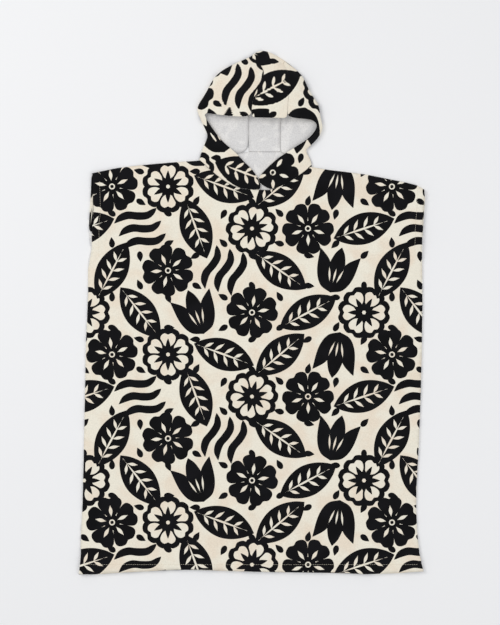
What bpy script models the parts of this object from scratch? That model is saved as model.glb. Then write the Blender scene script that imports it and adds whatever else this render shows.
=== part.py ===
"""Hooded bath poncho of velour terry, laid out flat on its back, face opening up.

The garment is cut as five pieces: a front and a back panel, and a hood of two sides with a
straight gusset between them. Its edges are turned in and stitched, and each turned strip is
a solid of its own, lying inside the panel that it belongs to.

Frame: +Z is up from the table, +Y runs from the hem towards the hood, +X is the right side
as laid out. Lengths below are in millimetres, and each object is made in metres. The origin
is under the middle of the garment's box.
"""

import math

import bpy
import numpy as np

MM = 0.001
CLOTH = 2.2  # thickness of the towelling
GAP = 0.3  # clearance at seams and between layers
LAYER = CLOTH + GAP  # rise from the middle of one layer to the next
TABLE_LAYER = CLOTH / 2  # middle of the layer that lies on the table
HEM_WIDTH = 22.0
RIM_WIDTH = 20.0  # turned edge round the face opening
SLEEVE_HEM_WIDTH = 18.0
PRINT = (0.45, 0.40, 0.33)  # colour of the printed face, black and cream together
LINING = (0.80, 0.79, 0.76)  # colour of the wrong side, which the turned edges show

# Body outline, each side as (x, y) from the hem upwards, each edge from -X to +X.
HEM = [
    (-433, -655), (-392, -655), (-342, -651), (-242, -646), (-167, -642), (-67, -646),
    (33, -649), (133, -650), (233, -651), (283, -655), (358, -652), (429, -648),
]
LEFT_SIDE = [
    (-433, -655), (-431, -639), (-427, -614), (-430, -581), (-425, -519), (-422, -419),
    (-418, -219), (-415, -69), (-410, 31), (-410, 126), (-401, 156), (-400, 201),
    (-396, 241), (-396, 281), (-398, 331), (-399, 347),
]
RIGHT_SIDE = [
    (429, -648), (422, -619), (415, -581), (410, -469), (417, -344), (422, -219),
    (425, -94), (427, 31), (425, 156), (427, 244), (431, 281), (431, 306),
]
LEFT_SHOULDER = [(-399, 347), (-342, 360), (-292, 366), (-242, 371), (-167, 377), (-132, 380)]
RIGHT_SHOULDER = [(150, 364), (182, 357), (232, 351), (282, 345), (332, 335), (407, 320), (431, 306)]
ARMHOLE_PEEK = [(0, 0), (126, 0), (181, 3), (206, 10), (256, 11), (281, 8), (320, 4), (347, 3)]
BACK_LONGER = 1.5  # the back panel shows this much below the front one
LEFT_ARMHOLE = 200  # lower ends of the two armholes
RIGHT_ARMHOLE = 156
ARMHOLE_STEPS = 7

# Front panel grid: columns along its top edge, rows as a share of its height.
LEFT_COLUMNS = [-399, -399 + SLEEVE_HEM_WIDTH, -335, -285, -235, -185]
RIGHT_COLUMNS = [190, 240, 290, 340, 385, 431 - SLEEVE_HEM_WIDTH, 431]
HEM_ROW = HEM_WIDTH / 1000
ARMHOLE_ROW = 0.853
PANEL_ROWS = [
    0, HEM_ROW, 0.05, 0.1, 0.16, 0.22, 0.28, 0.34, 0.4, 0.46, 0.52, 0.58, 0.64, 0.7, 0.76,
    0.81, ARMHOLE_ROW, 0.89, 0.925, 0.955, 0.98, 1.0,
]
NECK_LIFT = 5.2  # rise of the front neckline over the table layer
WAVE = 1.6  # height of the soft waves left in the laid cloth

# Hood sides. Each row runs from the gusset seam on the table layer (x, y), round the fold
# at the outline (x, y), to the free edge or the crown seam (x, y). Then come the height of
# the fold, the height of the free edge and the swell between them. Row 0 is the neck seam,
# CROWN_ROW meets the gusset at the face opening, and the last row is the top of the head.
CROWN_ROW = 10
LEFT_ROWS = [
    ((-8, 402), (-132, 380), (25, 306), 5.2, 5.2, 0.0),
    ((-8, 408), (-129, 394), (18, 331), 5.8, 5.2, 1.0),
    ((-8, 414), (-122, 412), (0, 359), 6.5, 5.4, 1.5),
    ((-8, 421), (-115, 429), (-21, 376), 7.5, 6.0, 1.5),
    ((-8, 431), (-110, 442), (-40, 400), 8.5, 7.0, 1.0),
    ((-8, 446), (-118, 459), (-74, 425), 10.0, 9.0, 0.5),
    ((-8, 466), (-130, 484), (-105, 468), 11.0, 10.5, 0.0),
    ((-8, 486), (-139, 505), (-125, 499), 11.5, 12.5, 0.0),
    ((-8, 501), (-134, 521), (-98, 495), 12.0, 16.0, 1.0),
    ((-8, 516), (-122, 538), (-60, 489), 13.0, 20.0, 2.0),
    ((-8, 534), (-110, 559), (-1, 485), 14.0, 23.0, 4.0),
    ((-7, 554), (-98, 584), (-1, 505), 15.0, 25.0, 6.0),
    ((-5, 574), (-78, 604), (4, 541), 15.0, 27.0, 6.0),
    ((-3, 594), (-48, 620), (22, 571), 14.0, 26.0, 5.0),
    ((-1, 612), (-22, 631), (34, 596), 12.0, 20.0, 3.0),
    ((1, 624), (-10, 637), (20, 620), 9.5, 13.0, 1.0),
    ((4, 632), (-3, 640), (7, 632), 7.5, 8.0, 0.0),
]
RIGHT_ROWS = [
    ((72, 402), (150, 364), (14, 326), 5.2, 7.9, 0.0),
    ((72, 408), (149, 376), (19, 340), 5.8, 7.7, 0.5),
    ((72, 414), (142, 391), (36, 359), 6.5, 6.6, 1.0),
    ((72, 421), (134, 405), (60, 381), 7.5, 6.6, 1.5),
    ((72, 431), (141, 411), (79, 394), 8.5, 8.0, 1.0),
    ((72, 444), (156, 424), (112, 415), 10.0, 9.5, 0.5),
    ((72, 456), (170, 440), (145, 435), 11.0, 10.5, 0.0),
    ((72, 471), (179, 461), (165, 462), 11.5, 12.0, 0.0),
    ((72, 486), (174, 480), (160, 477), 12.0, 14.0, 0.0),
    ((72, 502), (170, 502), (136, 483), 13.0, 19.0, 1.0),
    ((72, 519), (168, 520), (88, 483), 14.0, 23.0, 4.0),
    ((72, 536), (152, 540), (89, 504), 15.0, 25.0, 5.0),
    ((72, 554), (140, 562), (91, 538), 15.0, 27.0, 4.0),
    ((72, 572), (131, 585), (96, 570), 14.0, 24.0, 2.0),
    ((73, 591), (116, 603), (90, 597), 12.0, 18.0, 1.0),
    ((75, 607), (97, 618), (84, 611), 9.5, 12.0, 0.0),
    ((76, 619), (84, 628), (77, 620), 7.5, 8.0, 0.0),
]
# Neck seams from the shoulder to the centre front, and how much each next row keeps of
# their curve.
LEFT_NECK = [(-102, 352), (-85, 339), (-55, 318), (-30, 309), (0, 306), (25, 306)]
RIGHT_NECK = [(125, 346), (108, 335), (92, 324), (59, 310), (39, 304), (14, 326)]
NECK_FADE = [1.0, 0.6, 0.3, 0.1]
NECK_CORNER = 34.0  # from the right side's corner to where it crosses the left side
BACK_STEPS = 3
FOLD_STEPS = 4
FRONT_STEPS = 7
GUSSET_STEPS = 6
APEX_REACH = 19.0  # how far the gusset's fold stands out past its two seams
GUSSET_SWELL = 3.0


def lerp(a, b, share):
    return a + (b - a) * share


def ease(share):
    """Smooth step from 0 to 1."""
    share = min(max(share, 0.0), 1.0)
    return share * share * (3 - 2 * share)


def along(points, shares):
    """Points at these shares of a polyline's length."""
    points = np.array(points, float)
    steps = np.linalg.norm(np.diff(points, axis=0), axis=1)
    length = np.concatenate([[0.0], np.cumsum(steps)])
    at = np.array(shares) * length[-1]
    return np.stack([np.interp(at, length, points[:, k]) for k in (0, 1)], axis=1)


def x_at(side, y):
    return float(np.interp(y, [p[1] for p in side], [p[0] for p in side]))


def y_at(edge, x):
    return float(np.interp(x, [p[0] for p in edge], [p[1] for p in edge]))


def cloth_material(name, rgb):
    material = bpy.data.materials.new(name)
    material.use_nodes = True
    shader = material.node_tree.nodes["Principled BSDF"]
    shader.inputs["Base Color"].default_value = (*rgb, 1.0)
    shader.inputs["Roughness"].default_value = 0.95
    shader.inputs["Metallic"].default_value = 0.0
    return material


def solid(name, points, faces, rgb):
    """One closed object from points in millimetres."""
    mesh = bpy.data.meshes.new(name)
    mesh.from_pydata([tuple(float(c) * MM for c in p) for p in points], [], faces)
    mesh.validate()
    mesh.shade_smooth()
    mesh.materials.append(cloth_material(name + "_cloth", rgb))
    made = bpy.data.objects.new(name, mesh)
    bpy.context.scene.collection.objects.link(made)
    return made


def wall(name, points, normals, quads, rgb):
    """Cloth of full thickness on both sides of a middle surface, with its rim closed."""
    used = sorted({i for quad in quads for i in quad})
    local = {vertex: n for n, vertex in enumerate(used)}
    count = len(used)
    out = [points[i] + normals[i] * CLOTH / 2 for i in used]
    back = [points[i] - normals[i] * CLOTH / 2 for i in used]
    faces = []
    for a, b, c, d in quads:
        a, b, c, d = (local[i] for i in (a, b, c, d))
        faces += [(a, b, c), (a, c, d)]
        faces += [(c + count, b + count, a + count), (d + count, c + count, a + count)]
    edges = {(a, b) for quad in quads for a, b in zip(quad, quad[1:] + quad[:1])}
    for a, b in sorted(edges):
        if (b, a) not in edges:
            a, b = local[a], local[b]
            faces += [(b, a, a + count), (b, a + count, b + count)]
    return solid(name, out + back, faces, rgb)


def grid_quads(rows, columns, width, first_row=0, first_column=0):
    """Quads between rows and columns of a grid whose rows hold width points each."""
    quads = []
    for row in range(first_row, first_row + rows):
        for column in range(first_column, first_column + columns):
            at = row * width + column
            quads.append((at, at + 1, at + width + 1, at + width))
    return quads


def flat_strip(name, outline, bottom, rgb):
    """A flat-laid layer: an outline, anticlockwise, one cloth thick from this height."""
    count = len(outline)
    points = [(x, y, bottom) for x, y in outline]
    points += [(x, y, bottom + CLOTH) for x, y in outline]
    faces = [tuple(reversed(range(count))), tuple(range(count, 2 * count))]
    faces += [(k, (k + 1) % count, (k + 1) % count + count, k + count) for k in range(count)]
    return solid(name, points, faces, rgb)


# ---- hood: middle surface of the two sides and the gusset -------------------------------


def outward(rows, index):
    """The outline's normal in plan at this row, pointing away from the hood."""
    low, high = max(index - 1, 0), min(index + 1, len(rows) - 1)
    tangent = np.subtract(rows[high][1], rows[low][1])
    normal = np.array([-tangent[1], tangent[0]]) / np.linalg.norm(tangent)
    return normal if np.dot(normal, np.subtract(rows[index][1], rows[index][0])) > 0 else -normal


def neck_bend(rows, neck):
    """How far the neck seam strays from a straight line, at each column of the front run."""
    length = np.linalg.norm(np.diff(np.array([rows[0][1]] + neck, float), axis=0), axis=1).sum()
    shares = front_shares(length, row_edge(rows, 0))
    seam = along([rows[0][1]] + neck, shares)
    straight = along([rows[0][1], rows[0][2]], shares)
    return seam - straight


def row_edge(rows, index):
    """Width of the last column, which the turned rim covers."""
    if rows is RIGHT_ROWS and index < len(NECK_FADE):
        return lerp(NECK_CORNER, RIM_WIDTH, index / len(NECK_FADE))
    return RIM_WIDTH


def front_shares(length, edge):
    edge = min(edge, 0.6 * length)
    shares = [k * (1 - edge / length) / (FRONT_STEPS - 1) for k in range(FRONT_STEPS)]
    return shares + [1.0]


def side_row(rows, index, bend):
    """One row of a hood side: the table layer, the fold and the upper layer."""
    back, outline, free, fold, edge_height, swell = rows[index]
    back, outline, free = (np.array(p, float) for p in (back, outline, free))
    normal = outward(rows, index)
    centre = outline - normal * (fold / 2 + CLOTH / 2)
    row = []
    for k in range(BACK_STEPS):
        row.append((*lerp(back, centre, k / BACK_STEPS), TABLE_LAYER))
    for k in range(FOLD_STEPS):
        angle = math.pi * k / FOLD_STEPS
        plan = centre + normal * math.sin(angle) * fold / 2
        row.append((*plan, TABLE_LAYER + fold * (1 - math.cos(angle)) / 2))
    shares = front_shares(np.linalg.norm(free - centre), row_edge(rows, index))
    fade = NECK_FADE[index] if index < len(NECK_FADE) else 0.0
    for k, share in enumerate(shares):
        plan = lerp(centre, free, share) + bend[k] * fade
        height = lerp(fold, edge_height, share) + swell * math.sin(math.pi * share)
        row.append((*plan, TABLE_LAYER + height))
    return [np.array(p) for p in row]


def side_grid(rows, neck):
    bend = neck_bend(rows, neck)
    return [side_row(rows, index, bend) for index in range(len(rows))]


def flatten_neck(grid):
    """The right side's neck seam stays low until it crosses the left side."""
    first = BACK_STEPS + FOLD_STEPS
    for k in range(FRONT_STEPS - 1):
        grid[0][first + k][2] = TABLE_LAYER + NECK_LIFT
    grid[0][first + FRONT_STEPS - 1][2] = grid[0][first + FRONT_STEPS][2]


def gusset_path(side):
    """Indices of the seam that a hood side shares with the gusset, from the neck up the
    table layer, over the top of the head and down the crown to the face opening."""
    last = len(side) - 1
    path = [side[row][0] for row in range(last)]
    path += side[last]
    path += [side[row][-1] for row in range(last - 1, CROWN_ROW - 1, -1)]
    return path


class Hood:
    """Middle surface of the hood: shared points, and quads for each piece."""

    def __init__(self):
        self.points = []
        self.quads = {}

    def add(self, point):
        self.points.append(np.array(point, float))
        return len(self.points) - 1

    def add_side(self, name, grid, flip):
        index = [[self.add(p) for p in row] for row in grid]
        quads = []
        for low, high in zip(index, index[1:]):
            for a, b, c, d in zip(low, low[1:], high[1:], high):
                quads.append((a, d, c, b) if flip else (a, b, c, d))
        self.quads[name] = quads
        return index

    def add_gusset(self, name, left, right):
        """Rows across, from the left seam to the right one."""
        seams = list(zip(gusset_path(left), gusset_path(right)))
        turn = len(left) - 1
        rows = []
        for step, (a, b) in enumerate(seams):
            near = 1 - min(abs(step - turn - len(left[0]) / 2) / 12.0, 1.0)
            on_crown = ease((step - turn - BACK_STEPS - FOLD_STEPS) / 10.0)
            row = [a]
            for k in range(1, GUSSET_STEPS):
                share = k / GUSSET_STEPS
                point = lerp(self.points[a], self.points[b], share)
                point = point + self.bulge(share, near, on_crown)
                row.append(self.add(point))
            rows.append(row + [b])
        quads = []
        for low, high in zip(rows, rows[1:]):
            quads += [(a, d, c, b) for a, b, c, d in zip(low, low[1:], high[1:], high)]
        self.quads[name] = quads
        return rows

    @staticmethod
    def bulge(share, near, on_crown):
        """The fold reaches out to the top of the head, and the crown swells a little."""
        reach = APEX_REACH * ease(near * 1.6) * math.sin(math.pi * share**0.74)
        return np.array([0.0, reach, GUSSET_SWELL * on_crown * math.sin(math.pi * share)])

    def normals(self):
        total = np.zeros((len(self.points), 3))
        for quads in self.quads.values():
            for quad in quads:
                a, b, c, d = (self.points[i] for i in quad)
                total[list(quad)] += np.cross(c - a, d - b)
        return total / np.linalg.norm(total, axis=1)[:, None]

    def seam_points(self, name):
        """The piece's points with those on a seam drawn back by half the clearance."""
        others = {i for key, quads in self.quads.items() if key != name for q in quads for i in q}
        own = {i for quad in self.quads[name] for i in quad}
        shared = own & others
        pull = {i: np.zeros(3) for i in shared}
        for quad in self.quads[name]:
            for i in set(quad) & shared:
                pull[i] += sum(self.points[j] - self.points[i] for j in quad if j not in shared)
        points = list(self.points)
        normals = self.normals()
        for i, way in pull.items():
            way = way - normals[i] * np.dot(way, normals[i])
            points[i] = points[i] + way / np.linalg.norm(way) * GAP / 2
        return points


def seam_shift(line):
    """Half the clearance, across each point of a seam in plan, towards its left hand."""
    line = np.array([p[:2] for p in line])
    tangent = np.gradient(line, axis=0)
    normal = np.stack([-tangent[:, 1], tangent[:, 0]], axis=1)
    normal /= np.linalg.norm(normal, axis=1)[:, None]
    return [np.array([x, y, 0.0]) * GAP / 2 for x, y in normal]


def open_neck(points, row, towards_hood):
    """Moves a hood side's front neck edge off the seam line, and returns the panel's edge."""
    first = BACK_STEPS + FOLD_STEPS
    seam = row[first:]
    shift = seam_shift([points[i] for i in seam])
    panel = []
    for i, move in zip(seam, shift):
        panel.append(points[i] - move * towards_hood)
        points[i] = points[i] + move * towards_hood
    return panel


def upright_at_neck(normals, sides):
    """The neck edge's walls stand upright, as the panels' edges that they meet do."""
    first = BACK_STEPS + FOLD_STEPS
    for side in sides:
        for i in side[0][:BACK_STEPS]:
            normals[i] = (0, 0, -1)
        for i in side[0][first + 1 :]:
            normals[i] = (0, 0, 1)


def rim_hem(name, points, normals, side, flip):
    """The rim turned in: the last column's points, moved in by a layer."""
    pairs = [row[-2:] for row in side[2 : CROWN_ROW + 1]]
    moved = {i: points[i] - normals[i] * LAYER for pair in pairs for i in pair}
    strip = [moved.get(i, point) for i, point in enumerate(points)]
    quads = []
    for low, high in zip(pairs, pairs[1:]):
        a, b, c, d = low[0], low[1], high[1], high[0]
        quads.append((a, d, c, b) if flip else (a, b, c, d))
    wall(name, strip, normals, quads, LINING)


def gusset_hem(points, normals, rows):
    pairs = list(zip(rows[-2], rows[-1]))
    strip = list(points)
    for i in {i for pair in pairs for i in pair}:
        strip[i] = points[i] - normals[i] * LAYER
    quads = [(a, d, c, b) for (a, d), (b, c) in zip(pairs, pairs[1:])]
    wall("hood_rim_hem_gusset", strip, normals, quads, LINING)


def make_hood():
    """Builds the hood and returns the two neck edges that the front panel is sewn to."""
    left_grid = side_grid(LEFT_ROWS, LEFT_NECK)
    right_grid = side_grid(RIGHT_ROWS, RIGHT_NECK)
    flatten_neck(right_grid)
    hood = Hood()
    left = hood.add_side("hood_side_left", left_grid, flip=False)
    right = hood.add_side("hood_side_right", right_grid, flip=True)
    gusset = hood.add_gusset("hood_gusset", left, right)
    normals = hood.normals()
    upright_at_neck(normals, (left, right))
    left_points = hood.seam_points("hood_side_left")
    right_points = hood.seam_points("hood_side_right")
    left_edge = open_neck(left_points, left[0], 1)
    right_edge = open_neck(right_points, right[0], -1)
    gusset_points = hood.seam_points("hood_gusset")
    wall("hood_side_left", left_points, normals, hood.quads["hood_side_left"], PRINT)
    wall("hood_side_right", right_points, normals, hood.quads["hood_side_right"], PRINT)
    wall("hood_gusset", gusset_points, normals, hood.quads["hood_gusset"], PRINT)
    rim_hem("hood_rim_hem_left", left_points, normals, left, flip=False)
    rim_hem("hood_rim_hem_right", right_points, normals, right, flip=True)
    gusset_hem(gusset_points, normals, gusset)
    back_neck = [left_points[i] for i in left[0][: BACK_STEPS + 1]]
    back_neck += [right_points[i] for i in right[0][: BACK_STEPS + 1]]
    return left_edge, right_edge, back_neck


# ---- body: front and back panel with their turned edges ---------------------------------


def panel_top(left_edge, right_edge):
    """The front panel's top edge from the left armhole over the neckline to the right one."""
    top = [(x, y_at(LEFT_SHOULDER, x)) for x in LEFT_COLUMNS]
    top += [tuple(p[:2]) for p in left_edge]
    top += [tuple(p[:2]) for p in reversed(right_edge[:-1])]
    top += [(x, y_at(RIGHT_SHOULDER, x)) for x in RIGHT_COLUMNS]
    return top


def panel_height(x, y, column, row, last_column):
    """Middle of the front panel over the table: hems raise it, and soft waves remain."""
    rest = TABLE_LAYER + LAYER
    share = PANEL_ROWS[row]
    over_hem = 1 - ease((share - HEM_ROW) / 0.05)
    edge = min(column, last_column - column)
    over_armhole = (1 - ease(edge - 1)) * ease((share - ARMHOLE_ROW + 0.045) / 0.045)
    inner = math.sin(math.pi * min(edge / 4, 0.5)) * ease(share / 0.2) * ease((1 - share) / 0.15)
    wave = math.sin(x / 49 + y / 143) * math.sin(y / 67 - 0.6)
    raised = 2 * LAYER * max(over_hem, over_armhole)
    return rest + raised + WAVE * inner * (wave + 1)


def neck_weight(column, first, last):
    """1 along the neckline, easing to 0 two columns down each shoulder."""
    outside = max(first - column, column - last, 0)
    return 1 - ease(outside / 2)


def front_grid(top, neck_columns):
    """A patch between the hem, the two sides and the top edge."""
    last = len(top) - 1
    shares = [(p[0] - top[0][0]) / (top[-1][0] - top[0][0]) for p in top]
    bottom = [lerp(HEM[0][0], HEM[-1][0], s) for s in shares]
    bottom = [(x, y_at(HEM, x)) for x in bottom]
    grid = []
    for row, t in enumerate(PANEL_ROWS):
        left_y = lerp(bottom[0][1], top[0][1], t)
        right_y = lerp(bottom[-1][1], top[-1][1], t)
        left_off = x_at(LEFT_SIDE, left_y) - lerp(bottom[0][0], top[0][0], t)
        right_off = x_at(RIGHT_SIDE, right_y) - lerp(bottom[-1][0], top[-1][0], t)
        for column, s in enumerate(shares):
            x = lerp(bottom[column][0], top[column][0], t) + lerp(left_off, right_off, s)
            y = lerp(bottom[column][1], top[column][1], t)
            z = panel_height(x, y, column, row, last)
            near_neck = neck_weight(column, *neck_columns) * ease((t - 0.9) / 0.1)
            z = lerp(z, TABLE_LAYER + NECK_LIFT, near_neck)
            grid.append(np.array([x, y, z]))
    return grid, len(top)


def make_front(left_edge, right_edge):
    top = panel_top(left_edge, right_edge)
    neck = (len(LEFT_COLUMNS), len(top) - len(RIGHT_COLUMNS) - 1)
    grid, width = front_grid(top, neck)
    rows = len(PANEL_ROWS) - 1
    up = [np.array([0.0, 0.0, 1.0])] * len(grid)
    wall("front_panel", grid, up, grid_quads(rows, width - 1, width), PRINT)
    under = [p - up[0] * LAYER for p in grid]
    wall("front_hem", under, up, grid_quads(1, width - 1, width), LINING)
    first = PANEL_ROWS.index(ARMHOLE_ROW)
    upper = rows - first
    left = grid_quads(upper, 1, width, first, 0)
    right = grid_quads(upper, 1, width, first, width - 2)
    wall("left_armhole_hem_front", under, up, left, LINING)
    wall("right_armhole_hem_front", under, up, right, LINING)


def back_sides():
    """The back panel shows a little beside the armholes, where the front is turned in."""
    left = [(x - y_at(ARMHOLE_PEEK, y), y) for x, y in LEFT_SIDE[1:]]
    right = [(x + 0.3 * y_at(ARMHOLE_PEEK, y), y) for x, y in RIGHT_SIDE[1:]]
    return left, right


def upright_strip(side, low, high, inward):
    """Outline of a strip of this width along a side, between two heights."""
    levels = np.linspace(low, high, ARMHOLE_STEPS)
    edge = [(x_at(side, y), y) for y in levels]
    turned = [(x + inward, y) for x, y in edge]
    return edge + turned[::-1] if inward < 0 else turned + edge[::-1]


def make_back(back_neck):
    """The table layer, flat, up to the back neck seam."""
    left, right = back_sides()
    hem = [(x, y - BACK_LONGER) for x, y in HEM]
    neck = [(p[0], p[1] - GAP) for p in back_neck]
    left_neck = neck[: BACK_STEPS + 1]
    right_neck = neck[BACK_STEPS + 1 :]
    outline = hem + right + RIGHT_SHOULDER[-2:0:-1] + right_neck[::-1]
    outline += left_neck + LEFT_SHOULDER[-2:0:-1] + left[::-1]
    flat_strip("back_panel", outline, 0.0, PRINT)
    turned = [(x, y + HEM_WIDTH) for x, y in hem[1:-1]]
    low, high = hem[0][1] + HEM_WIDTH, hem[-1][1] + HEM_WIDTH
    turned = [(x_at(left, low), low)] + turned + [(x_at(right, high), high)]
    flat_strip("back_hem", hem + turned[::-1], LAYER, LINING)
    left_armhole = upright_strip(left, LEFT_ARMHOLE, left[-1][1], SLEEVE_HEM_WIDTH)
    right_armhole = upright_strip(right, RIGHT_ARMHOLE, right[-1][1], -SLEEVE_HEM_WIDTH)
    flat_strip("left_armhole_hem_back", left_armhole, LAYER, LINING)
    flat_strip("right_armhole_hem_back", right_armhole, LAYER, LINING)


def centre_on_origin():
    """Puts the origin under the middle of the whole garment's box."""
    made = [o for o in bpy.context.scene.objects if o.type == "MESH"]
    corners = np.array([v.co[:] for o in made for v in o.data.vertices])
    middle = (corners.min(axis=0) + corners.max(axis=0)) / 2
    for o in made:
        for vertex in o.data.vertices:
            vertex.co.x -= middle[0]
            vertex.co.y -= middle[1]


def main():
    for old in list(bpy.data.objects):
        bpy.data.objects.remove(old, do_unlink=True)
    left_edge, right_edge, back_neck = make_hood()
    make_front(left_edge, right_edge)
    make_back(back_neck)
    centre_on_origin()


main()
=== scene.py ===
import math

import bmesh
import bpy
import numpy as np
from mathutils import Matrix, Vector, kdtree, noise
from mathutils.bvhtree import BVHTree
from mathutils.geometry import delaunay_2d_cdt


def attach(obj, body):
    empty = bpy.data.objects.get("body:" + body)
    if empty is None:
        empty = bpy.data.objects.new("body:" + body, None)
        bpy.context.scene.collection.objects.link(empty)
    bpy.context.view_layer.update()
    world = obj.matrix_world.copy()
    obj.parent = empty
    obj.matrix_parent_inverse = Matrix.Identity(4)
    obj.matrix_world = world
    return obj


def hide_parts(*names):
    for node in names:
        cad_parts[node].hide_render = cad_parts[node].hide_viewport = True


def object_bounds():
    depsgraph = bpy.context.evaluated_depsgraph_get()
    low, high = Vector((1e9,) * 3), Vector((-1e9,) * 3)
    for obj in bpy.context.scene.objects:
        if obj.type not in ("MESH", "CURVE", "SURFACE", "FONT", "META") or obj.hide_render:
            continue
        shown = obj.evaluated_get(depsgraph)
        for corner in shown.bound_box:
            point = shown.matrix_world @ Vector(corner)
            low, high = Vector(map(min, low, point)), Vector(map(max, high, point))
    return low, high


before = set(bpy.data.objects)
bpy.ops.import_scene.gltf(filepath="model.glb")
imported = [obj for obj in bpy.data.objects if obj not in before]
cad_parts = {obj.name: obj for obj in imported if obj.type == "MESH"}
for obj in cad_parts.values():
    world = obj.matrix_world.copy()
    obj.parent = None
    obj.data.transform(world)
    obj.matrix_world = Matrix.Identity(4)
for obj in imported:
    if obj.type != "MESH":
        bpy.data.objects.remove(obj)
cadLow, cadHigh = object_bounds()
bpy.ops.object.select_all(action="DESELECT")
mm = 0.001

cloth = {
    "thickness": 2.2,
    "outlineStep": 4.5,  # spacing of the points along the printed shapes
    "gridStep": 8.5,  # spacing of the points between them
    "inkSpread": 1.0,  # how far the ink bleeds outwards
    "bareShrink": 0.6,  # and into the bare shapes
    "softReach": 1.6,  # how far the print edge is blurred before the finish sharpens it
    "sleeveHemWidth": 18,
}


# The print is a plain all-over of leaves and open flowers, each worked out by a formula at life size.
# A shape is a list of (x, y) in millimetres, and a point with a third number is a sharp corner.
# "ink" shapes print black and "bare" ones leave the cream ground showing.
printRepeat = {
    "across": (700, 0),
    "down": (0, -420),
    "columnWidth": 140,
    "rowHeight": 105,
    "leaf": {"length": 158, "width": 76, "veins": 4, "veinWidth": 6},
    "flower": {"radius": 63, "petals": 5},
    "ringedFlower": {"radius": 64, "petals": 6},
    "bud": {"radius": 56},
    "waves": {"length": 112, "thickness": 19, "count": 3, "spacing": 34},
    "drop": {"radius": 12},
}


def turnedShape(points, degrees, x=0, y=0):
    turn = math.radians(degrees)
    cos, sin = math.cos(turn), math.sin(turn)
    return [(p[0] * cos - p[1] * sin + x, p[0] * sin + p[1] * cos + y, *p[2:]) for p in points]


def sliver(start, end, width):
    # a slender pointed shape from start to end
    middle = ((start[0] + end[0]) / 2, (start[1] + end[1]) / 2)
    length = math.dist(start, end)
    sideX, sideY = (start[1] - end[1]) / length * width / 2, (end[0] - start[0]) / length * width / 2
    bulges = [(middle[0] + sign * sideX, middle[1] + sign * sideY) for sign in (1, -1)]
    return [(*start, 1), bulges[0], (*end, 1), bulges[1]]


def leafShapes(length, width, veins, veinWidth):
    def side(sign, shares):
        return [((t - 0.5) * length, sign * width / 2 * math.sin(math.pi * t) ** 0.8) for t in shares]

    shares = [0.12, 0.3, 0.5, 0.7, 0.88]
    edge = [(-length / 2, 0, 1)] + side(1, shares) + [(length / 2, 0, 1)] + side(-1, shares[::-1])
    shapes = [("ink", edge), ("bare", sliver((-length * 0.46, 0), (length * 0.4, 0), veinWidth))]
    for index in range(veins):
        foot = (index / veins * 0.66 - 0.34) * length
        reach = width * 0.36 * math.sin(math.pi * (foot / length + 0.6))
        for sign in (1, -1):
            shapes.append(("bare", sliver((foot, 0), (foot + length * 0.13, sign * reach), veinWidth * 1.5)))
    return shapes


def petal(radius, halfWidth, root):
    return [
        (radius * root, 0, 1),
        (radius * 0.5, radius * halfWidth * 0.75),
        (radius * 0.82, radius * halfWidth),
        (radius, radius * halfWidth * 0.45),
        (radius * 0.93, 0),
        (radius, -radius * halfWidth * 0.45),
        (radius * 0.82, -radius * halfWidth),
        (radius * 0.5, -radius * halfWidth * 0.75),
    ]


def disc(radius):
    turns = [math.radians(degrees) for degrees in range(0, 360, 60)]
    return [(radius * math.cos(turn), radius * math.sin(turn)) for turn in turns]


def flowerShapes(radius, petals):
    shapes = [("ink", disc(radius * 0.3))]
    for index in range(petals):
        turn = 360 / petals * index
        shapes.append(("ink", turnedShape(petal(radius, 0.46, 0.1), turn)))
        ray = sliver((radius * 0.22, 0), (radius * 0.7, 0), radius * 0.16)
        shapes.append(("bare", turnedShape(ray, turn)))
    return shapes + [("bare", disc(radius * 0.13)), ("ink", disc(radius * 0.06))]


def ringedFlowerShapes(radius, petals):
    shapes = []
    for index in range(petals):
        turn = 360 / petals * index
        shapes.append(("ink", turnedShape(petal(radius, 0.44, 0.02), turn)))
        shapes.append(("bare", turnedShape(petal(radius * 0.84, 0.36, 0.3), turn)))
        shapes.append(("ink", turnedShape(sliver((0, 0), (radius * 0.62, 0), radius * 0.16), turn)))
    return shapes + [("ink", disc(radius * 0.24)), ("bare", disc(radius * 0.09))]


def budShapes(radius):
    half = [(0.5, -0.78), (0.8, -0.2), (0.92, 0.8, 1), (0.52, 0.5), (0.34, 0.3, 1), (0.2, 0.75)]
    cup = [(0, -1, 1)] + half + [(0, 1.05, 1)] + [(-p[0], *p[1:]) for p in reversed(half)]
    shapes = [("ink", [(p[0] * radius, p[1] * radius, *p[2:]) for p in cup])]
    for lean in (-0.34, 0, 0.34):
        foot, tip = (lean * radius * 0.4, -radius * 0.6), (lean * radius, radius * 0.15)
        shapes.append(("bare", sliver(foot, tip, 6)))
    return shapes


def waveShapes(length, thickness, count, spacing):
    shapes = []
    shares = [0.15, 0.35, 0.55, 0.75, 0.9]
    for index in range(count):
        middle = (index - (count - 1) / 2) * spacing

        def side(sign):
            places = []
            for t in shares:
                swing = 9 * math.sin(2 * math.pi * t)
                half = sign * thickness / 2 * math.sin(math.pi * t) ** 0.4
                places.append(((t - 0.5) * length, middle + swing + half))
            return places

        ends = [(-length / 2, middle, 1)], [(length / 2, middle, 1)]
        shapes.append(("ink", ends[0] + side(1) + ends[1] + side(-1)[::-1]))
    return shapes


def dropShapes(radius):
    return [("ink", [(0, -radius * 1.3, 1), (radius * 0.55, 0), (0, radius * 0.8), (-radius * 0.55, 0)])]


shapesOf = {
    "leaf": leafShapes,
    "flower": flowerShapes,
    "ringedFlower": ringedFlowerShapes,
    "bud": budShapes,
    "waves": waveShapes,
    "drop": dropShapes,
}

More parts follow.
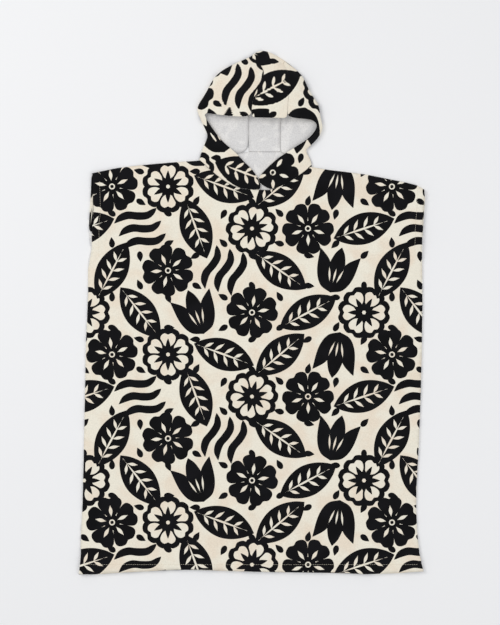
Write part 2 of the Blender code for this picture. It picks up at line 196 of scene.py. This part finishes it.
# one repeat, row by row from the bottom, every other row half a step along: kind and turn in degrees
printRows = [
    [("flower", 10), ("leaf", 28), ("ringedFlower", 0), ("leaf", -52), ("bud", 20)],
    [("leaf", -35), ("bud", -15), ("leaf", 62), ("flower", 40), ("waves", 75)],
    [("ringedFlower", 15), ("flower", 55), ("leaf", 18), ("waves", 20), ("leaf", -70)],
    [("leaf", 40), ("bud", 170), ("flower", 25), ("ringedFlower", 30), ("leaf", -20)],
]


def motifPlace(row, column):
    return (column + row % 2 / 2) * printRepeat["columnWidth"], row * printRepeat["rowHeight"]


def turnedMotif(kind, degrees):
    shapes = shapesOf[kind](**printRepeat[kind])
    return [(inked, turnedShape(points, degrees)) for inked, points in shapes]


drops, figures = [], []
for row, kinds in enumerate(printRows):
    for column, (kind, degrees) in enumerate(kinds):
        x, y = motifPlace(row, column)
        figures.append((x, y, turnedMotif(kind, degrees)))
        for dropX, dropY in ((0.5, 0.36), (0, 0.64)):  # in the gaps between three motifs
            lean = degrees * 3 + dropX * 360
            place = (x + dropX * printRepeat["columnWidth"], y + dropY * printRepeat["rowHeight"])
            drops.append((*place, turnedMotif("drop", lean)))
motifs = drops + figures  # the small drops print under the larger shapes


def smoothOutline(points, step):
    # a closed curve through the points, straight into and out of the sharp ones
    count = len(points)
    places = [Vector(point[:2]) for point in points]
    sharp = [len(point) > 2 for point in points]
    headings = []
    for index in range(count):
        heading = places[(index + 1) % count] - places[index - 1]
        headings.append(heading.normalized() if heading.length > 0 else Vector((1, 0)))
    curve = []
    for index in range(count):
        after = (index + 1) % count
        start, end = places[index], places[after]
        chord = end - start
        leave = chord if sharp[index] else headings[index] * chord.length
        arrive = chord if sharp[after] else headings[after] * chord.length
        pieces = max(1, round(chord.length / step))
        for part in range(pieces):
            share = part / pieces
            square, cube = share**2, share**3
            curve.append(
                start * (2 * cube - 3 * square + 1)
                + leave * (cube - 2 * square + share)
                + end * (3 * square - 2 * cube)
                + arrive * (cube - square)
            )
    return np.array([(point.x, point.y) for point in curve])


def spreadOutline(outline, amount):
    # ink bleeds a little into the pile, so black shapes grow and bare ones shrink
    x, y = outline[:, 0], outline[:, 1]
    turn = np.sign((x * np.roll(y, -1) - y * np.roll(x, -1)).sum())
    heading = np.roll(outline, -1, 0) - np.roll(outline, 1, 0)
    length = np.maximum(np.hypot(heading[:, 0], heading[:, 1]), 1e-6)[:, None]
    return outline + np.stack([heading[:, 1], -heading[:, 0]], 1) / length * turn * amount


def shapeOutline(kind, points):
    spread = cloth["inkSpread"] if kind == "ink" else -cloth["bareShrink"]
    return spreadOutline(smoothOutline(points, cloth["outlineStep"]), spread)


cellOutlines = []
for x, y, shapes in motifs:
    cellOutlines += [(kind == "ink", shapeOutline(kind, points) + (x, y)) for kind, points in shapes]


def printOver(low, high, mirrored=False, start=(0, 0)):
    # every printed shape whose repeat touches the box from low to high, in painting order
    # start is where on the cloth the piece was cut
    across, down = np.array(printRepeat["across"]), np.array(printRepeat["down"])
    shapes = []
    for column in range(-2, 3):
        for row in range(-3, 4):
            shift = across * column + down * row + start
            for isInk, outline in cellOutlines:
                moved = outline + shift
                if mirrored:
                    moved[:, 0] *= -1
                if (moved.max(0) > low).all() and (moved.min(0) < high).all():
                    shapes.append((isInk, moved))
    return shapes


def insideOutline(outline, places):
    # which places lie inside the closed outline
    inside = np.zeros(len(places), bool)
    near = np.nonzero(((places > outline.min(0)) & (places < outline.max(0))).all(1))[0]
    if len(near) == 0:
        return inside
    x, y = places[near, 0][:, None], places[near, 1][:, None]
    ax, ay = outline[:, 0][None], outline[:, 1][None]
    bx, by = np.roll(ax, -1, 1), np.roll(ay, -1, 1)
    spans = (ay > y) != (by > y)
    rise = np.where(by == ay, 1e-9, by - ay)
    crossing = spans & (x < ax + (y - ay) * (bx - ax) / rise)
    inside[near] = crossing.sum(1) % 2 == 1
    return inside


def inkAt(shapes, places):
    # 1 where the print is black and 0 where the ground shows
    ink = np.zeros(len(places))
    for isInk, outline in shapes:
        ink[insideOutline(outline, places)] = 1.0 if isInk else 0.0
    return ink


def softInkAt(shapes, places, reach):
    # the share of black around each place, which the finish turns back into a crisp edge
    total = np.zeros(len(places))
    low, high = places.min(0) - reach, places.max(0) + reach
    shapes = [shape for shape in shapes if (shape[1].max(0) > low).all() and (shape[1].min(0) < high).all()]
    turns = np.linspace(0, 2 * math.pi, 8, endpoint=False)
    for x, y in [(0, 0)] + [(math.cos(turn), math.sin(turn)) for turn in turns]:
        total += inkAt(shapes, places + (x * reach, y * reach))
    return total / (len(turns) + 1)


def nodeShell(nodeName):
    # a welded copy of a CAD node, in metres
    shell = bmesh.new()
    shell.from_mesh(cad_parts[nodeName].data)
    bmesh.ops.remove_doubles(shell, verts=shell.verts, dist=1e-5)
    shell.normal_update()
    return shell


def panelOutline(shell):
    # the border of the panel's upper face, in millimetres and in order
    links = {}
    for edge in shell.edges:
        tops = [face.normal.z > 0.5 for face in edge.link_faces]
        if sum(tops) == 1:
            first, second = edge.verts
            links.setdefault(first.index, []).append(second.index)
            links.setdefault(second.index, []).append(first.index)
    start = next(iter(links))
    path, last = [start], None
    while True:
        onward = [index for index in links[path[-1]] if index != last]
        last = path[-1]
        if not onward or onward[0] == start:
            break
        path.append(onward[0])
    shell.verts.ensure_lookup_table()
    outline = np.array([shell.verts[index].co.xy[:] for index in path]) / mm
    x, y = outline[:, 0], outline[:, 1]
    area = (x * np.roll(y, -1) - y * np.roll(x, -1)).sum()
    return outline if area > 0 else outline[::-1]


def finelySpaced(outline, step):
    fine = []
    for start, end in zip(outline, np.roll(outline, -1, 0)):
        pieces = max(1, round(float(np.hypot(*(end - start))) / step))
        fine += [start + (end - start) * part / pieces for part in range(pieces)]
    return np.array(fine)


def cutPanel(outline, shapes):
    # flat triangles of the panel whose edges follow the printed shapes
    step = cloth["gridStep"]
    loops = [finelySpaced(outline, cloth["outlineStep"])] + [shape for isInk, shape in shapes]
    places, edges = [], []
    for loop in loops:
        first = len(places)
        places += [tuple(point) for point in loop]
        edges += [(first + index, first + (index + 1) % len(loop)) for index in range(len(loop))]
    taken = kdtree.KDTree(len(places))
    for index, place in enumerate(places):
        taken.insert((*place, 0), index)
    taken.balance()
    low, high = outline.min(0), outline.max(0)
    for row, y in enumerate(np.arange(low[1] + step / 2, high[1], step * 0.87)):
        for x in np.arange(low[0] + step / 2 * (row % 2), high[0], step):
            if taken.find((x, y, 0))[2] > step * 0.45:
                places.append((x, y))
    flat, _, triangles, *_ = delaunay_2d_cdt([Vector(place) for place in places], edges, [], 0, 1e-4)
    flat = np.array([point[:] for point in flat])
    triangles = np.array([list(triangle) for triangle in triangles if len(triangle) == 3])
    middles = flat[triangles].mean(1)
    triangles = triangles[insideOutline(loops[0], middles)]
    a, b, c = (flat[triangles[:, index]] for index in range(3))
    turn = (b[:, 0] - a[:, 0]) * (c[:, 1] - a[:, 1]) - (b[:, 1] - a[:, 1]) * (c[:, 0] - a[:, 0])
    triangles[turn < 0] = triangles[turn < 0][:, ::-1]
    triangles = triangles[np.abs(turn) > 1e-3]
    used, triangles = np.unique(triangles, return_inverse=True)
    return flat[used], triangles.reshape(-1, 3)


def heightOn(tree, place, upper):
    # the shell's upper or lower face at a place, in millimetres
    high = 1.0 if upper else -1.0
    hit = tree.ray_cast(Vector((place[0] * mm, place[1] * mm, high)), Vector((0, 0, -high)))[0]
    if hit is None:
        hit = tree.find_nearest(Vector((place[0] * mm, place[1] * mm, 0.02 if upper else -0.02)))[0]
    return hit.z / mm


def ridgeHeight(ridges, place):
    # soft ridges of (start, end, half width, height), each fading out at its ends
    total = 0
    for (x1, y1), (x2, y2), width, height in ridges:
        run = Vector((x2 - x1, y2 - y1))
        offset = Vector((place[0] - x1, place[1] - y1))
        share = min(1, max(0, offset.dot(run) / run.length_squared))
        away = (offset - run * share).length
        fade = math.sin(math.pi * min(1, max(0, share * 0.9 + 0.05)))
        total += height * fade * math.exp(-((away / width) ** 2))
    return total


def clothObject(name, places, faces, inks, slots, finishes):
    # a finished piece of cloth: places in millimetres, one ink value and one finish slot for each face
    mesh = bpy.data.meshes.new(name)
    mesh.from_pydata([tuple(c * mm for c in place) for place in places], [], faces)
    mesh.validate()
    piece = bpy.data.objects.new(name, mesh)
    bpy.context.scene.collection.objects.link(piece)
    for finish in finishes:
        mesh.materials.append(finish)
    mesh.polygons.foreach_set("material_index", slots)
    mesh.polygons.foreach_set("use_smooth", [True] * len(faces))
    attribute = mesh.attributes.new("ink", "FLOAT", "CORNER")
    attribute.data.foreach_set("value", [ink for face, ink in zip(faces, inks) for _ in face])
    return piece


def makePanel(name, nodeName, settings, outerUp):
    shell = nodeShell(nodeName)
    tree = BVHTree.FromBMesh(shell)
    outline = panelOutline(shell)
    shapes = printOver(outline.min(0), outline.max(0), mirrored=not outerUp)
    flat, triangles = cutPanel(outline, shapes)
    ink = inkAt(shapes, flat[triangles].mean(1))
    pairs = np.sort(np.concatenate([triangles[:, [0, 1]], triangles[:, [1, 2]], triangles[:, [2, 0]]]), 1)
    owners = np.tile(np.arange(len(triangles)), 3)
    unique, firsts, counts = np.unique(pairs, axis=0, return_index=True, return_counts=True)
    rims = [(unique[index], owners[firsts[index]]) for index in np.nonzero(counts == 1)[0]]
    onRim = set(int(index) for pair, owner in rims for index in pair)
    upper, lower = [], []
    for index, place in enumerate(flat):
        top, bottom = heightOn(tree, place, True), heightOn(tree, place, False)
        lift = ridgeHeight(settings["ridges"], place) if outerUp else 0
        if outerUp:
            wave = noise.noise(Vector((place[0] / 160, place[1] / 120, 3))) + 0.4
            lift += max(0, wave) * settings["wave"]
            near = math.hypot(place[0] - settings["neck"][0], place[1] - settings["neck"][1])
            lift *= min(1, max(0, (near - settings["neckRadius"]) / 70))
            edge = abs(place[1] - settings["hemLine"])
            lift -= settings["seamDepth"] * math.exp(-((edge / 4) ** 2))
        tuck = 0.7 if index in onRim else 0
        upper.append((*place, top + lift - tuck))
        lower.append((*place, bottom + lift + (0.2 if index in onRim and outerUp else 0)))
    count = len(flat)
    faces, inks, slots = [], [], []
    for triangle, value in zip(triangles, ink):
        a, b, c = (int(index) for index in triangle)
        faces += [(a, b, c), (c + count, b + count, a + count)]
        inks += [value, value]
        slots += [0, 1] if outerUp else [1, 0]
    for (first, second), owner in rims:
        a, b = int(first), int(second)
        corner = [int(index) for index in triangles[owner]]
        if corner[(corner.index(a) + 1) % 3] != b:
            a, b = b, a
        faces.append((b, a, a + count, b + count))
        inks.append(ink[owner])
        slots.append(0)
    shell.free()
    finishes = [printedVelour, terryLoops]
    piece = clothObject(name, upper + lower, faces, inks, slots, finishes)
    print(name, len(faces), "faces")
    return piece


def smoothFaces(shell, seed, limit):
    found, open_ = {seed.index}, [seed]
    while open_:
        face = open_.pop()
        for edge in face.edges:
            if len(edge.link_faces) == 2 and edge.calc_face_angle(0) < limit:
                for other in edge.link_faces:
                    if other.index not in found:
                        found.add(other.index)
                        open_.append(other)
    return found


def makeSoftPiece(name, nodeName, level, seenFromAbove, finishes=None):
    # the node's shell rounded off, its outer face printed and its inner face looped
    shell = nodeShell(nodeName)
    shell.faces.ensure_lookup_table()
    sides, known = [], set()
    for face in shell.faces:
        if face.index not in known:
            side = smoothFaces(shell, face, math.radians(62))
            known |= side
            sides.append((sum(shell.faces[index].calc_area() for index in side), side))
    sides.sort(key=lambda pair: -pair[0])
    outer, inner = sides[0][1], sides[1][1]
    for face in shell.faces:
        face.material_index = 1 if face.index in inner else 0
    crease = shell.edges.layers.float.new("crease_edge")  # keeps the cut edges from drawing back at the seams
    for edge in shell.edges:
        homes = [(face.index in outer) - (face.index in inner) for face in edge.link_faces]
        if len(set(homes)) > 1:
            edge[crease] = 1.0
    bmesh.ops.join_triangles(
        shell, faces=shell.faces, cmp_materials=True, angle_face_threshold=0.8, angle_shape_threshold=1.4
    )
    mesh = bpy.data.meshes.new(name)
    shell.to_mesh(mesh)
    shell.free()
    piece = bpy.data.objects.new(name, mesh)
    bpy.context.scene.collection.objects.link(piece)
    bpy.context.view_layer.objects.active = piece
    rounding = piece.modifiers.new("rounding", "SUBSURF")
    rounding.levels = rounding.render_levels = level
    bpy.ops.object.modifier_apply(modifier=rounding.name)
    mesh = piece.data
    places = np.array([vertex.co.xy[:] for vertex in mesh.vertices]) / mm
    above = softInkAt(seenFromAbove, places, cloth["softReach"])
    below = softInkAt(printUnder, places, cloth["softReach"])
    attribute = mesh.attributes.new("ink", "FLOAT", "CORNER")
    values = np.zeros(len(mesh.loops))
    for polygon in mesh.polygons:
        upward = polygon.normal.z > 0
        if polygon.material_index == 1:
            upward = not upward
        source = above if upward else below
        for loop in polygon.loop_indices:
            values[loop] = source[mesh.loops[loop].vertex_index]
    attribute.data.foreach_set("value", values)
    for finish in finishes or [printedVelour, terryLoops]:
        mesh.materials.append(finish)
    mesh.polygons.foreach_set("use_smooth", [True] * len(mesh.polygons))
    print(name, len(mesh.polygons), "faces")
    return piece


def linear(hexText):
    parts = [int(hexText[index : index + 2], 16) / 255 for index in (1, 3, 5)]
    return (*[part / 12.92 if part <= 0.04045 else ((part + 0.055) / 1.055) ** 2.4 for part in parts], 1)


def addNode(tree, kind, links=(), **settings):
    # a node with its settings, its inputs set to a value or linked to another node's output
    node = tree.nodes.new(kind)
    for name, value in settings.items():
        setattr(node, name, value)
    for socket, value in links:
        if isinstance(value, bpy.types.NodeSocket):
            tree.links.new(value, node.inputs[socket])
        else:
            node.inputs[socket].default_value = value
    return node


def newFinish(name):
    finish = bpy.data.materials.new(name)
    finish.use_nodes = True
    tree = finish.node_tree
    return finish, tree, tree.nodes["Principled BSDF"]


velour = {
    "ink": "#0B0B0D",
    "inkWorn": "#111114",
    "ground": "#F3EDDC",
    "groundWarm": "#F0E3CF",
    "pile": 1.6,  # mm between tufts, drawn coarser than the sheared pile so that it shows
}


def makeVelour():
    # sheared cotton velour, printed with reactive ink: matt, with a faint bloom at grazing angles
    finish, tree, shader = newFinish("printed cotton velour")
    place = addNode(tree, "ShaderNodeTexCoord").outputs["Object"]
    print_ = addNode(tree, "ShaderNodeAttribute", attribute_name="ink").outputs["Fac"]
    cloud = addNode(tree, "ShaderNodeTexNoise", [("Vector", place), ("Scale", 1 / 0.055), ("Detail", 3)])
    tufts = addNode(
        tree, "ShaderNodeTexNoise", [("Vector", place), ("Scale", 1000 / velour["pile"] / 2), ("Detail", 2)]
    )
    edge = addNode(
        tree, "ShaderNodeMapRange", [("Value", print_), ("From Min", 0.4), ("From Max", 0.6)]
    ).outputs["Result"]
    spread = addNode(
        tree, "ShaderNodeMapRange", [("Value", cloud.outputs["Fac"]), ("From Min", 0.42), ("From Max", 0.62)]
    ).outputs["Result"]
    ground = addNode(tree, "ShaderNodeMix", [(0, spread)], data_type="RGBA")
    ground.inputs[6].default_value = linear(velour["ground"])
    ground.inputs[7].default_value = linear(velour["groundWarm"])
    ink = addNode(tree, "ShaderNodeMix", [(0, spread)], data_type="RGBA")
    ink.inputs[6].default_value = linear(velour["ink"])
    ink.inputs[7].default_value = linear(velour["inkWorn"])
    colour = addNode(
        tree, "ShaderNodeMix", [(0, edge), (6, ground.outputs[2]), (7, ink.outputs[2])], data_type="RGBA"
    )
    # high tufts painted lighter and low ones darker, from the same noise as the bump: painted light and shade of
    # the pile
    shade = addNode(
        tree,
        "ShaderNodeMapRange",
        [("Value", tufts.outputs["Fac"]), ("From Min", 0.3), ("From Max", 0.7), ("To Min", 0.93), ("To Max", 1.04)],
    ).outputs["Result"]
    pileShaded = addNode(
        tree, "ShaderNodeMix", [(0, 1.0), (6, colour.outputs[2])], data_type="RGBA", blend_type="MULTIPLY"
    )
    tree.links.new(shade, pileShaded.inputs[7])
    tree.links.new(pileShaded.outputs[2], shader.inputs["Base Color"])
    bump = addNode(
        tree, "ShaderNodeBump", [("Height", tufts.outputs["Fac"]), ("Strength", 0.35), ("Distance", 0.0006)]
    )
    tree.links.new(bump.outputs["Normal"], shader.inputs["Normal"])
    shader.inputs["Roughness"].default_value = 0.92
    shader.inputs["Sheen Weight"].default_value = 0.03
    shader.inputs["Sheen Roughness"].default_value = 0.6
    shader.inputs["Specular IOR Level"].default_value = 0.12
    return finish


terry = {"loops": "#F6F4F1", "hollowShade": "#E4E2DF", "showThrough": "#B9B9BC", "loopSize": 2.4}


def makeTerry():
    # uncut terry loops on the inside, white, with painted shade in the hollows between the loops and the print
    # showing through in grey
    finish, tree, shader = newFinish("white cotton terry")
    place = addNode(tree, "ShaderNodeTexCoord").outputs["Object"]
    print_ = addNode(tree, "ShaderNodeAttribute", attribute_name="ink").outputs["Fac"]
    loops = addNode(
        tree, "ShaderNodeTexVoronoi", [("Vector", place), ("Scale", 1000 / terry["loopSize"]), ("Randomness", 0.9)]
    )
    # the hollows between the loops are painted a darker white: painted shade in the recesses
    pitShade = addNode(
        tree, "ShaderNodeMapRange", [("Value", loops.outputs["Distance"]), ("From Min", 0.2), ("From Max", 0.75)]
    ).outputs["Result"]
    edge = addNode(
        tree, "ShaderNodeMapRange", [("Value", print_), ("From Min", 0.15), ("From Max", 0.85), ("To Max", 0.22)]
    ).outputs["Result"]
    white = addNode(tree, "ShaderNodeMix", [(0, pitShade)], data_type="RGBA")
    white.inputs[6].default_value = linear(terry["loops"])
    white.inputs[7].default_value = linear(terry["hollowShade"])
    colour = addNode(tree, "ShaderNodeMix", [(0, edge), (6, white.outputs[2])], data_type="RGBA")
    colour.inputs[7].default_value = linear(terry["showThrough"])
    tree.links.new(colour.outputs[2], shader.inputs["Base Color"])
    bump = addNode(
        tree, "ShaderNodeBump", [("Height", loops.outputs["Distance"]), ("Strength", 0.5), ("Distance", 0.001)]
    )
    bump.invert = True
    tree.links.new(bump.outputs["Normal"], shader.inputs["Normal"])
    shader.inputs["Roughness"].default_value = 0.95
    shader.inputs["Sheen Weight"].default_value = 0.2
    shader.inputs["Specular IOR Level"].default_value = 0.2
    return finish


def makeThread():
    # spun polyester sewing thread: a slight sheen on a twisted strand, whose plies get painted highlight and shade
    # as lighter and darker diagonal bands
    finish, tree, shader = newFinish("ecru sewing thread")
    place = addNode(tree, "ShaderNodeTexCoord").outputs["Object"]
    twist = addNode(
        tree,
        "ShaderNodeTexWave",
        [("Vector", place), ("Scale", 1000 / 1.2), ("Distortion", 1.5)],
        bands_direction="DIAGONAL",
    )
    # lighter and darker diagonal bands along the twist: painted highlight and shade on the plies
    colour = addNode(tree, "ShaderNodeMix", [(0, twist.outputs["Fac"])], data_type="RGBA")
    colour.inputs[6].default_value = linear("#D8CDB8")
    colour.inputs[7].default_value = linear("#E6DECD")
    tree.links.new(colour.outputs[2], shader.inputs["Base Color"])
    shader.inputs["Roughness"].default_value = 0.6
    return finish


printedVelour = makeVelour()
terryLoops = makeTerry()
thread = makeThread()
print("finishes ready")

frontPanel = {
    "wave": 2.2,
    "neck": (18, 345),
    "neckRadius": 120,
    "hemLine": -630,
    "seamDepth": 1.0,
    "ridges": [
        ((-395, -550), (-370, -568), 9, 4),
        ((-420, -420), (-300, -300), 26, 2.5),
        ((-90, -120), (60, -250), 26, 3.4),
        ((160, 40), (330, 120), 24, 3.4),
        ((-300, 120), (-180, 260), 24, 3.2),
        ((200, -480), (380, -380), 22, 3.4),
        ((-120, -520), (60, -470), 30, 2),
        ((330, 250), (405, 200), 18, 2.2),
        ((-330, 340), (-390, 250), 18, 2.2),
    ],
}

reachLow, reachHigh = np.array([-460, -680]), np.array([460, 680])  # a little past the whole garment
printUnder = printOver(reachLow, reachHigh, mirrored=True)
printAbove = printOver(reachLow, reachHigh)
sidePrint = printOver(reachLow, reachHigh, start=(52, 34))
crownPrint = printOver(reachLow, reachHigh, start=(-88, 140))

front = makePanel("printed_front", "front_panel", frontPanel, True)
back = makePanel("printed_back", "back_panel", {}, False)
hoodLeft = makeSoftPiece("printed_hood_left", "hood_side_left", 3, sidePrint)
hoodRight = makeSoftPiece("printed_hood_right", "hood_side_right", 3, crownPrint)
gusset = makeSoftPiece("printed_hood_gusset", "hood_gusset", 3, crownPrint)
hems = {}
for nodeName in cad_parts:
    if "hem" in nodeName:
        if nodeName.startswith("hood"):
            hemPrint = sidePrint if nodeName.endswith("left") else crownPrint
        else:
            hemPrint = printAbove
        hems[nodeName] = makeSoftPiece("turned_" + nodeName, nodeName, 2, hemPrint)
        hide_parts(nodeName)
        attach(hems[nodeName], "root")

stitching = {
    "length": 3.6,
    "pitch": 5.4,
    "width": 0.9,
    "height": 0.5,
    "topLevel": 60,  # above the whole garment
}


def stitchRow(seam, places, level):
    # one short strand of thread for every stitch between neighbouring places, laid on the cloth below it
    for start, end in zip(places[:-1], places[1:]):
        start, end = Vector(start), Vector(end)
        along = (end - start).normalized()
        across = Vector((-along.y, along.x)) * stitching["width"] / 2
        for index in range(int((end - start).length / stitching["pitch"])):
            head = start + along * index * stitching["pitch"]
            tail = head + along * stitching["length"]
            ends = []
            for place in (head, tail):
                above = Vector((place.x, place.y, stitching["topLevel"])) * mm
                hit = level.ray_cast(above, Vector((0, 0, -1)))[0]
                ends.append(hit.z / mm if hit else None)
            if None in ends:
                continue
            corners = []
            for place, height in ((head, ends[0]), (tail, ends[1])):
                for side in (across, -across):
                    foot = Vector((place.x + side.x, place.y + side.y, height - 0.2))
                    corners.append(seam.verts.new(foot * mm))
                corners.append(seam.verts.new(Vector((place.x, place.y, height + stitching["height"])) * mm))
            a, b, c, d, e, f = corners
            for face in ((a, c, b), (d, e, f), (a, b, e, d), (b, c, f, e), (c, a, d, f)):
                seam.faces.new(face)


def makeStitching():
    corners = [vertex.co for vertex in front.data.vertices]
    frontTree = BVHTree.FromPolygons(corners, [polygon.vertices for polygon in front.data.polygons])
    edges = panelOutline(nodeShell("front_panel"))
    left, right = edges[:, 0].min(), edges[:, 0].max()
    seam = bmesh.new()
    inset = 14
    hemRow = [(x, frontPanel["hemLine"]) for x in np.linspace(left + inset, right - inset, 9)]
    stitchRow(seam, hemRow, frontTree)
    for side in (-1, 1):
        rows = []
        for y in np.linspace(140, 330, 8):
            beside = edges[np.abs(edges[:, 1] - y) < 30]
            reachOut = (side * beside[:, 0]).max()
            rows.append((side * (reachOut - cloth["sleeveHemWidth"]), y))
        stitchRow(seam, rows, frontTree)
    bmesh.ops.recalc_face_normals(seam, faces=seam.faces)
    mesh = bpy.data.meshes.new("hem_stitching")
    seam.to_mesh(mesh)
    seam.free()
    rows = bpy.data.objects.new("hem_stitching", mesh)
    bpy.context.collection.objects.link(rows)
    mesh.materials.append(thread)
    print("stitches", len(mesh.polygons) // 5)
    return rows


hemStitching = makeStitching()
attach(hemStitching, "root")

sheets = {  # node: piece, flat size and area of its cut in metres, what it lies on, its hems
    "front_panel": (front, (0.866, 1.034), 0.832, ["printed_back"],
        ["front_hem", "left_armhole_hem_front", "right_armhole_hem_front"]),
    "back_panel": (back, (0.866, 1.060), 0.852, [],
        ["back_hem", "left_armhole_hem_back", "right_armhole_hem_back"]),
    "hood_side_left": (hoodLeft, (0.34, 0.30), 0.055, ["printed_back"], ["hood_rim_hem_left"]),
    "hood_side_right": (hoodRight, (0.33, 0.25), 0.038, ["printed_back"], ["hood_rim_hem_right"]),
    "hood_gusset": (gusset, (0.10, 0.42), 0.032, [], ["hood_rim_hem_gusset"]),
}
for nodeName, (piece, flat, area, restsOn, hemNames) in sheets.items():
    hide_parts(nodeName)
    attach(piece, "root")
print("cloth ready")

studio = {
    "floor": "#F7F7F7",
    "cameraHeight": 4.2,
    "pictureHeight": 1.5625,
    "pictureCentre": (-0.005, 0.0),
    "garmentLevel": 0.008,
}

bpy.ops.object.select_all(action="DESELECT")
bpy.ops.mesh.primitive_plane_add(size=14, location=(0, 0, 0))
floor = bpy.context.object
floor.name = "floor"
floor.location.z = cadLow.z - 0.0006
bpy.ops.object.transform_apply(location=True)
paper, _, paperShader = newFinish("pale paper sweep")
paperShader.inputs["Base Color"].default_value = linear(studio["floor"])
paperShader.inputs["Roughness"].default_value = 0.9
paperShader.inputs["Specular IOR Level"].default_value = 0.1
floor.data.materials.append(paper)

bpy.ops.object.camera_add(location=(*studio["pictureCentre"], studio["cameraHeight"]), rotation=(0, 0, 0))
camera = bpy.context.object
camera.name = "overhead camera"
camera.data.sensor_fit = "VERTICAL"
reach = studio["cameraHeight"] - studio["garmentLevel"]
camera.data.angle_y = 2 * math.atan(studio["pictureHeight"] / 2 / reach)
camera.data.clip_end = 50
bpy.context.scene.camera = camera

lamps = [
    # name, place, width, watts: a broad key from the upper left and a fill from the right
    ("key softbox", (-2.6, 1.6, 3.4), 2.2, 66),
    ("fill softbox", (2.2, -0.8, 3.6), 2.6, 34),
]
for name, place, width, watts in lamps:
    bpy.ops.object.light_add(type="AREA", location=place)
    lamp = bpy.context.object
    lamp.name = name
    lamp.data.size = width
    lamp.data.energy = watts
    lamp.rotation_euler = (-Vector(place)).to_track_quat("-Z", "Y").to_euler()
world = bpy.data.worlds.new("studio air")
bpy.context.scene.world = world
world.use_nodes = True
world.node_tree.nodes["Background"].inputs["Color"].default_value = linear("#F6F7FA")
world.node_tree.nodes["Background"].inputs["Strength"].default_value = 0.61
bpy.context.scene.view_settings.view_transform = "Standard"
print("studio ready")
